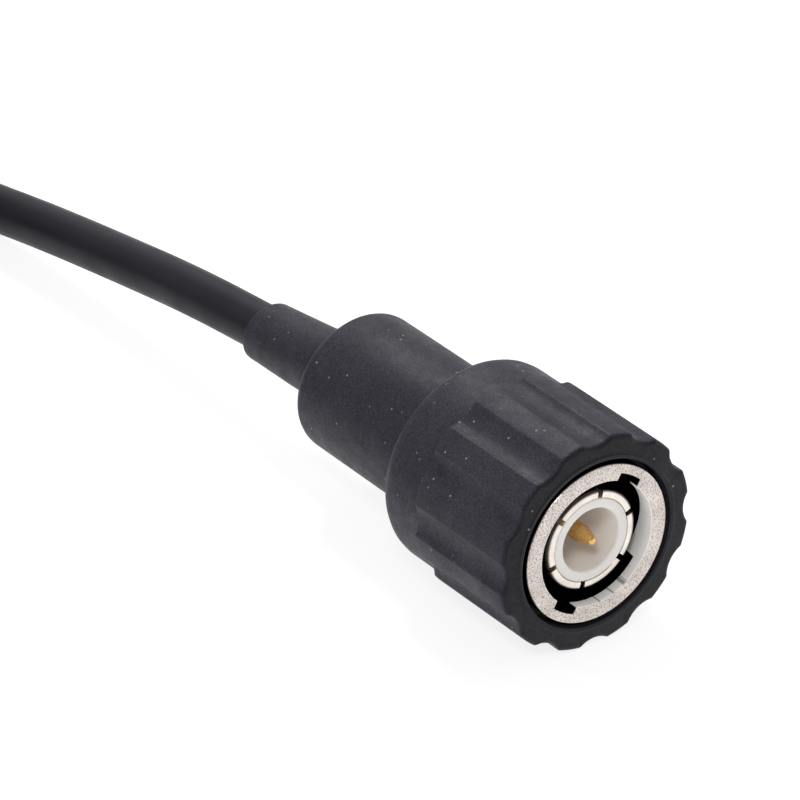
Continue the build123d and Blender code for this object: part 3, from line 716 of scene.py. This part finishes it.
def rib_radius(angle):
    """The knob's radius over its ribs: lands with concave valleys between, softly joined."""
    pitch = math.tau / RIB_COUNT
    off = math.remainder(angle + math.pi / 2, pitch)
    inside = VALLEY_ROUND**2 - (VALLEY_REACH * math.sin(off)) ** 2
    if inside <= 0:
        return RIB_R
    valley = VALLEY_REACH * math.cos(off) - math.sqrt(inside)
    if abs(RIB_R - valley) >= VALLEY_BLEND:
        return min(RIB_R, valley)
    lower = 0.5 + 0.5 * (RIB_R - valley) / VALLEY_BLEND
    return RIB_R + (valley - RIB_R) * lower - VALLEY_BLEND * lower * (1 - lower)


def knob_outline(angle):
    """The knob's section: its mouth round the ring, its face, a rib or valley, the drum and the rear wall."""
    over = rib_radius(angle)
    last = max(over, DRUM_R)
    mouth = [(-1.6, 6.3), (-1.6, 6.65), (-0.16, 6.65), (-0.04, 6.69), (0.0, 6.78), (0.0, 7.0), (-0.05, 7.08)]
    face = [(KNOB_FRONT, 7.2), (KNOB_FRONT, over - 0.42)]
    face += [(-0.09, over - 0.26), (-0.16, over - 0.12), (-0.28, over - 0.03)]
    rib = [(-0.42, over), (-3, over), (-6, over), (-9, over), (RIB_END + 0.35, last)]
    rib += [(RIB_END + 0.12, last - 0.1 * (last - DRUM_R)), (RIB_END + 0.02, DRUM_R + 0.6 * (last - DRUM_R))]
    drum = [(RIB_END, DRUM_R), (RIB_END - 0.1, DRUM_R), (-12.5, DRUM_R), (DRUM_END, DRUM_R)]
    for turn in (0.3, 0.6, 0.9, 1.2, math.pi / 2):
        drum.append((DRUM_END - DRUM_ROUND * math.sin(turn), DRUM_R - DRUM_ROUND * (1 - math.cos(turn))))
    rear = [(-15.3, 6.5), (-15.28, 6.15), (-15.15, 5.98), (-14.95, 5.92), (-13.7, 5.9), (-13.7, 6.3)]
    return mouth + face + rib + drum + rear


def notch_share(angle):
    """1 inside a bayonet notch, 0 outside, turning over a narrow band at its sides."""
    off = abs(math.remainder(angle - NOTCH, math.pi))
    share = min(max((NOTCH_HALF + NOTCH_BLEND - off) / (2 * NOTCH_BLEND), 0), 1)
    return share * share * (3 - 2 * share)


def cam_depth(angle):
    """How far the lip reaches back: it grows away from the notch, then drops to the locked place."""
    off = (NOTCH - angle) % math.pi
    if not CAM_START < off < CAM_START + CAM_SPAN:
        return LIP_THICK
    return LIP_THICK + CAM_RISE * (off - CAM_START) / CAM_SPAN


def ring_outline(angle):
    """The ring's section: the lip with its notches and cams in front of a wider chamber."""
    share = notch_share(angle)
    bore = 4.95 + 0.58 * share
    lip = cam_depth(angle) * (1 - share) + (LIP_THICK + 0.01) * share
    return [
        (-0.07, bore),
        (-0.02, bore + 0.02),
        (0.0, bore + 0.07),
        (0.0, 6.14),
        (-0.03, 6.24),
        (-0.12, 6.3),
        (-12.2, 6.3),
        (-12.2, 4.24),
        (-10.35, 4.24),
        (-10.35, 5.56),
        (-lip - 0.02, 5.56),
        (-lip, 5.54),
        (-lip, bore + 0.05),
        (-lip + 0.05, bore),
    ]


def ring_angles():
    """Even steps round the ring, with fine ones at the sides of its notches."""
    angles = round_angles(300)
    for side in (0, math.pi):
        for edge in (-1, 1):
            middle = NOTCH + side + edge * NOTCH_HALF
            angles += [middle + math.radians(d / 5) for d in range(-6, 7)]
    return sorted(set(round(a % math.tau, 6) for a in angles))


def add_coupling():
    mesh = bmesh.new()
    turn_into(mesh, knob_outline, round_angles(RIB_COUNT * 48))
    place(finished("knob", tidied(mesh), 32), "coupling", "knob_black", "coupling_sleeve")
    mesh = bmesh.new()
    turn_into(mesh, ring_outline, ring_angles())
    place(finished("bayonet_collar", tidied(mesh), 30), "coupling", "ring_nickel", "bayonet_ring")


def add_contacts():
    mesh = bmesh.new()
    finger = rounded([(-0.66, 3.32, 0.06), (-0.66, 4.0, 0.34), (-5.45, 4.0), (-5.45, 3.32)], 6)
    slot_half = 0.225 / 3.7
    for slot in range(6):
        start = math.radians(18 + 60 * slot) + slot_half
        end = math.radians(78 + 60 * slot) - slot_half
        turn_into(mesh, finger, [start + (end - start) * i / 28 for i in range(29)], False)
    turn_into(mesh, [(-5.4, 3.32), (-5.4, 3.8), (-8.2, 3.8), (-8.2, 3.32)], round_angles(96))
    place(finished("contact_fingers", tidied(mesh)), "probe", "contact_nickel", "outer_contact")
    tube = [(-0.66, 3.3, 0.1), (-9.99, 3.3), (-9.99, 0.9), (-8.8, 0.9), (-8.8, 2.5, 0.5), (-0.66, 2.5, 0.2)]
    place(turned("insulator_tube", rounded(tube, 5)), "probe", "white_ptfe", "front_insulator")
    pin = [(-0.45, 0), (-0.45, 0.3, 0.18), (-1.1, 0.48, 0.4), (-1.75, 0.665, 0.5), (-3, 0.675), (-8.8, 0.675)]
    pin += [(-8.8, 0.9), (-10, 0.9), (-10, 1.3), (-12, 1.3), (-12, 0.9), (-14.5, 0.9), (-14.5, 0)]
    place(turned("contact_pin", rounded(pin, 4), 64), "probe", "gold", "centre_pin")


DROOP_FROM = -27.0
DROOP_OVER = 5.0
DROOP = math.radians(4.6)


def add_boot():
    """The boot's barrel and neck. The neck droops, bending over its first millimetres."""
    outline = [
        (-13.9, 4.2),
        (-13.9, 5.68, 0.2),
        (-21, 5.68),
        (-29.3, 5.66, 1.0),
        (-29.35, 2.95, 0.55),
        (-31, 2.88),
        (-34.5, 2.71),
        (-38, 2.54),
        (-40.3, 2.44, 0.35),
        (-40.3, 1.92, 0.1),
        (-27, 1.92),
        (-26, 3.65),
        (-15, 3.65),
    ]
    piece = turned("boot", rounded(outline, 6), 160)
    for vertex in piece.data.vertices:
        back = DROOP_FROM - vertex.co.x / MM
        if back > 0:
            bent = min(back / DROOP_OVER, 1)
            lean = DROOP * bent
            off = vertex.co.z
            vertex.co.z -= math.tan(lean) * back * MM * (0.5 + bent / 2)
            vertex.co.x += math.sin(lean) * off
    place(piece, "probe", "soft_black", "plug_boot")


# --- the probe head ---------------------------------------------------------------------------------------
HEAD = (HEAD_Y, HEAD_Z)
SHELL_X0 = -132.0
SHELL_X1 = -76.0
GRIP_R = 5.2
GRIP_GROOVE_R = 4.7
SLIDER_X = SHELL_X0 + 27
TRIMMER_X = SHELL_X0 + 12
TRIMMER_HOLE_R = 1.6
RELIEF_GROOVE_R = 2.45


def head_turned(name, corners, slot, body, *nodes, steps=4):
    """A piece turned about the head's axis from (x, radius) or (x, radius, rounding) corners."""
    return place(turned(name, rounded(corners, steps), 96, HEAD), body, slot, *nodes)


def on_head(x, y, z):
    """A point in metres, from its place along the head in mm and its distances from the head's axis."""
    return Vector((x, HEAD_Y + y, HEAD_Z + z)) * MM


def half_round(name, outline, first):
    """Half of a turned piece of the head, from that angle on, with a hairline gap at its ends."""
    gap = 0.004
    mesh = bmesh.new()
    turn_into(mesh, outline, [first + gap + (math.pi - 2 * gap) * i / 64 for i in range(65)], False, HEAD)
    return finished(name, tidied(mesh))


def add_handle():
    """Two half shells, with the slider's window and the trimmer's hole in the upper one."""
    housing = SHELL_X0 + 32
    outer = [(SHELL_X0, 3.5), (SHELL_X0, 5.1, 0.5), (SHELL_X0 + 1.4, 6.7, 0.8), (SHELL_X0 + 3.8, HEAD_R, 3)]
    outer += [(housing - 1, HEAD_R, 5), (housing + 5, GRIP_R + 0.15, 5)]
    for rib in range(5):
        x = housing + 7.2 + rib * 3.2
        outer += [(x, GRIP_R, 0.25), (x + 0.4, GRIP_GROOVE_R, 0.2)]
        outer += [(x + 1.2, GRIP_GROOVE_R, 0.2), (x + 1.6, GRIP_R, 0.25)]
    outer += [(SHELL_X1, GRIP_R + 0.1, 0.2), (SHELL_X1, 2.9), (SHELL_X1 - 4, 2.9), (SHELL_X1 - 4, 3.8)]
    outer += [(housing + 3.5, 3.8), (housing - 1, 5.8), (SHELL_X0 + 3.5, 5.4), (SHELL_X0 + 3.5, 3.5)]
    outline = rounded(outer)
    upper = half_round("upper_shell", outline, 0.0)
    lower = half_round("lower_shell", outline, math.pi)
    mesh = bmesh.new()
    behind, ahead = SLIDER_X - 1.9, SLIDER_X + 5.4
    window = [(behind, -1.3, 0.3), (ahead, -1.3, 0.3), (ahead, 1.3, 0.3), (behind, 1.3, 0.3)]
    prism(mesh, rounded(window), 2, 12, on_head)
    hole = [(math.cos(angle), math.sin(angle)) for angle in round_angles(40)]
    prism(mesh, [(TRIMMER_X + TRIMMER_HOLE_R * x, TRIMMER_HOLE_R * y) for x, y in hole], 2, 12, on_head)
    cut(upper, finished("openings", tidied(mesh)))
    place(upper, "probe", "head_black", "handle_shell_upper")
    place(lower, "probe", "head_black", "handle_shell_lower")
    for half in (upper, lower):
        soften(half, 0.12, 60)


def add_head_fittings():
    """The strain relief, the colour ring, the finger guard and the ground barrel, from the cable forward."""
    relief = [(-150, 1.9), (-150, 2.75, 0.3)]
    for rib in range(4):
        x = -147 + rib * 3
        r = 2.85 + 0.17 * rib
        relief += [(x, r, 0.2), (x, RELIEF_GROOVE_R, 0.15)]
        relief += [(x + 1.2, RELIEF_GROOVE_R, 0.15), (x + 1.2, r + 0.06, 0.2)]
    relief += [(-135.6, 3.5, 0.4), (-128.5, 3.5), (-128.5, 4.8), (-126.5, 4.8), (-126.5, 1.9)]
    head_turned("relief", relief, "soft_black", "probe", "strain_relief")
    marker = [(-135.4, 3.5), (-135.4, 4.3, 0.5), (-132.2, 4.3, 0.5), (-132.2, 3.5)]
    head_turned("colour_ring", marker, "marker_blue", "probe", "marker_ring")
    guard = [(SHELL_X1, 2.9), (SHELL_X1, 5.35, 0.15), (SHELL_X1 + 0.75, 6.8, 0.5)]
    guard += [(SHELL_X1 + 1.1, HEAD_R, 0.4), (SHELL_X1 + 2.0, HEAD_R, 0.4)]
    guard += [(SHELL_X1 + 3.2, 4.3, 0.5), (SHELL_X1 + 3.2, 2.9)]
    head_turned("guard_disc", guard, "head_black", "probe", "finger_guard", steps=6)
    barrel = [(-80, 2.3), (-80, 2.9), (-64, 2.9, 0.25), (-64, 2.3, 0.1)]
    head_turned("ground_tube", barrel, "nickel", "probe", "ground_barrel")


def add_slider():
    """A cap with four ridges on top, and a stem down through the window to the board."""
    mesh = bmesh.new()
    x = SLIDER_X
    cap = [(x - 2.5, -1.7, 0.5), (x + 2.5, -1.7, 0.5), (x + 2.5, 1.7, 0.5), (x - 2.5, 1.7, 0.5)]
    prism(mesh, rounded(cap), HEAD_R + 0.15, HEAD_R + 1.15, on_head)
    for ridge in range(4):
        start = x - 1.75 + ridge
        end = start + 0.55
        bar = [(start, -1.35, 0.2), (end, -1.35, 0.2), (end, 1.35, 0.2), (start, 1.35, 0.2)]
        prism(mesh, rounded(bar, 3), HEAD_R + 0.9, HEAD_R + 1.5, on_head)
    stem = [(x - 1.6, -1.1, 0.2), (x + 1.6, -1.1, 0.2), (x + 1.6, 1.1, 0.2), (x - 1.6, 1.1, 0.2)]
    prism(mesh, rounded(stem, 3), 2.4, HEAD_R + 0.6, on_head)
    place(finished("slider_button", tidied(mesh)), "attenuation_switch", "slider_grey", "switch_slider")


def add_hook_adapter():
    """The adapter's inner tube and the sprung sleeve over it."""
    carrier = [(-68.5, 2.96), (-68.5, 3.9, 0.3), (-65.7, 3.9, 0.3), (-65.7, 3.3, 0.15), (-48, 3.3, 0.2)]
    carrier += [(-48, 0.36), (-49.5, 0.36), (-49.5, 1.9), (-63.9, 2.4), (-63.9, 2.96)]
    head_turned("adapter_tube", carrier, "nose_black", "hook_adapter", "hook_carrier")
    sleeve = [(-59.2, 3.38), (-59.2, 5.9, 0.35), (-57.7, 6.0, 0.5), (-56.5, 4.35, 0.7)]
    for groove in range(3):
        x = -54.6 + groove * 2.2
        sleeve += [(x, 4.3, 0.15), (x + 0.25, 4.0, 0.15), (x + 0.8, 4.0, 0.15), (x + 1.05, 4.3, 0.15)]
    sleeve += [(-41.4, 4.3, 1.5), (-37.1, 2.5, 0.5), (-36.5, 2.2, 0.3), (-36.5, 0.75, 0.1), (-38.5, 0.75)]
    sleeve += [(-38.5, 1.7), (-41.8, 1.7), (-41.8, 3.38)]
    head_turned("hook_tube", sleeve, "head_black", "hook_sleeve", "hook_sleeve", steps=5)


def add_hook():
    """A wire out of the adapter, bent back on itself. Its radius is in mm, as the cable's is."""
    curve = bpy.data.curves.new("hook", "CURVE")
    curve.dimensions = "3D"
    spline = curve.splines.new("BEZIER")
    corner, bend, drop = -32.35, 0.9, 1.9
    ahead, down, back = Vector((1, 0, 0)), Vector((0, 0, -1)), Vector((-1, 0, 0))
    stops = [(-49.5, 0, ahead), (corner - bend, 0, ahead), (corner, -bend, down)]
    stops += [(corner, bend - drop, down), (corner - bend, -drop, back), (-36.2, -drop, back)]
    spline.bezier_points.add(len(stops) - 1)
    for control, (x, z, heading) in zip(spline.bezier_points, stops):
        control.co = on_head(x, 0, z)
        control.radius = MM
        control.handle_left_type = control.handle_right_type = "FREE"
        control.handle_left = control.co - heading * 0.5 * MM
        control.handle_right = control.co + heading * 0.5 * MM
    spline.resolution_u = 10
    curve.bevel_depth = 0.35
    curve.bevel_resolution = 6
    curve.use_fill_caps = True
    hook = bpy.data.objects.new("hook", curve)
    bpy.context.collection.objects.link(hook)
    place(hook, "hook_adapter", "spring_steel", "hook_wire")


def squash_springs():
    """The spring washer and the hook's spring each get a mesh of their own."""
    nodes = frame["nodes"]
    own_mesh(nodes["spring_washer"])
    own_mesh(nodes["hook_spring"])


def dress_frame():
    """Every CAD node that still shows gets its slot's material."""
    for entry in frame["record"]["subparts"]:
        node = frame["nodes"][entry["node"]]
        for slot in node.material_slots:
            slot.material = MATERIALS[entry["material_slot"]]
        if not node.material_slots:
            node.data.materials.append(MATERIALS[entry["material_slot"]])


def add_floor():
    """A plain white floor that glows a little, so that it comes out white."""
    mesh = bmesh.new()
    lowered = Matrix.Translation((0, 0, FLOOR))
    bmesh.ops.create_grid(mesh, x_segments=16, y_segments=16, size=0.8, matrix=lowered)
    floor = finished("floor", mesh)
    material, tree, surface, here = new_material("paper")
    tone = ramp(tree, noise(tree, here, 12, 3), (0.3, 0.3), (0.7, 0.32))
    tree.links.new(tone, surface.inputs["Base Color"])
    surface.inputs["Roughness"].default_value = 0.9
    surface.inputs["Emission Color"].default_value = (1, 1, 1, 1)
    surface.inputs["Emission Strength"].default_value = 0.82
    floor.data.materials.append(material)


add_camera()
add_light()
cable = add_cable()
tie = add_tie()
add_coupling()
add_contacts()
add_boot()
add_handle()
add_head_fittings()
add_slider()
add_hook_adapter()
add_hook()
dress_frame()
squash_springs()
add_floor()
